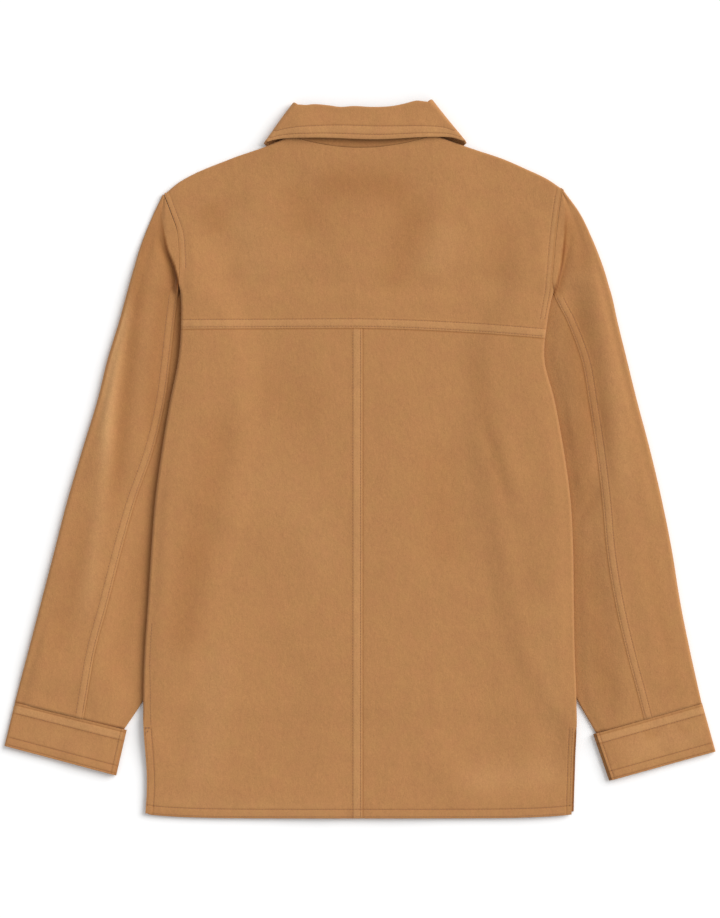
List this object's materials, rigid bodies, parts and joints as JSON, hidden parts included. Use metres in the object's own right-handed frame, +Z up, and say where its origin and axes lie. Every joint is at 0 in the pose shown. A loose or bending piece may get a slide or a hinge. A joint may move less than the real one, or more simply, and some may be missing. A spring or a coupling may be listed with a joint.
{
  "type": "suede shirt jacket laid flat",
  "caption": "Suede shirt jacket lying on its front, back up, with yoke, turned-down collar, two-piece sleeves, buttoned cuffs and side vents.",
  "frame": {"origin": "centre of the jacket's outline, on the surface that it lies on", "axes": "+Z up out of the jacket's back, +Y towards the collar, +X towards the wearer's right sleeve"},
  "size_m": [0.7532, 0.7609, 0.0116],
  "materials": {
    "suede": "brushed suede, tan",
    "buttons": "satin horn brown"
  },
  "bodies": {
    "root": {"yoke": "suede", "back_left": "suede", "back_right": "suede", "front_left": "suede", "front_right": "suede", "sleeve_upper_left": "suede", "sleeve_upper_right": "suede", "sleeve_under_left": "suede", "sleeve_under_right": "suede", "cuff_left": "suede", "cuff_right": "suede", "collar_fall": "suede", "collar_stand": "suede", "button_front_1": "buttons", "button_front_2": "buttons", "button_front_3": "buttons", "button_front_4": "buttons", "button_front_5": "buttons", "button_front_6": "buttons", "button_cuff_left": "buttons", "button_cuff_right": "buttons"}
  },
  "joints": []
}
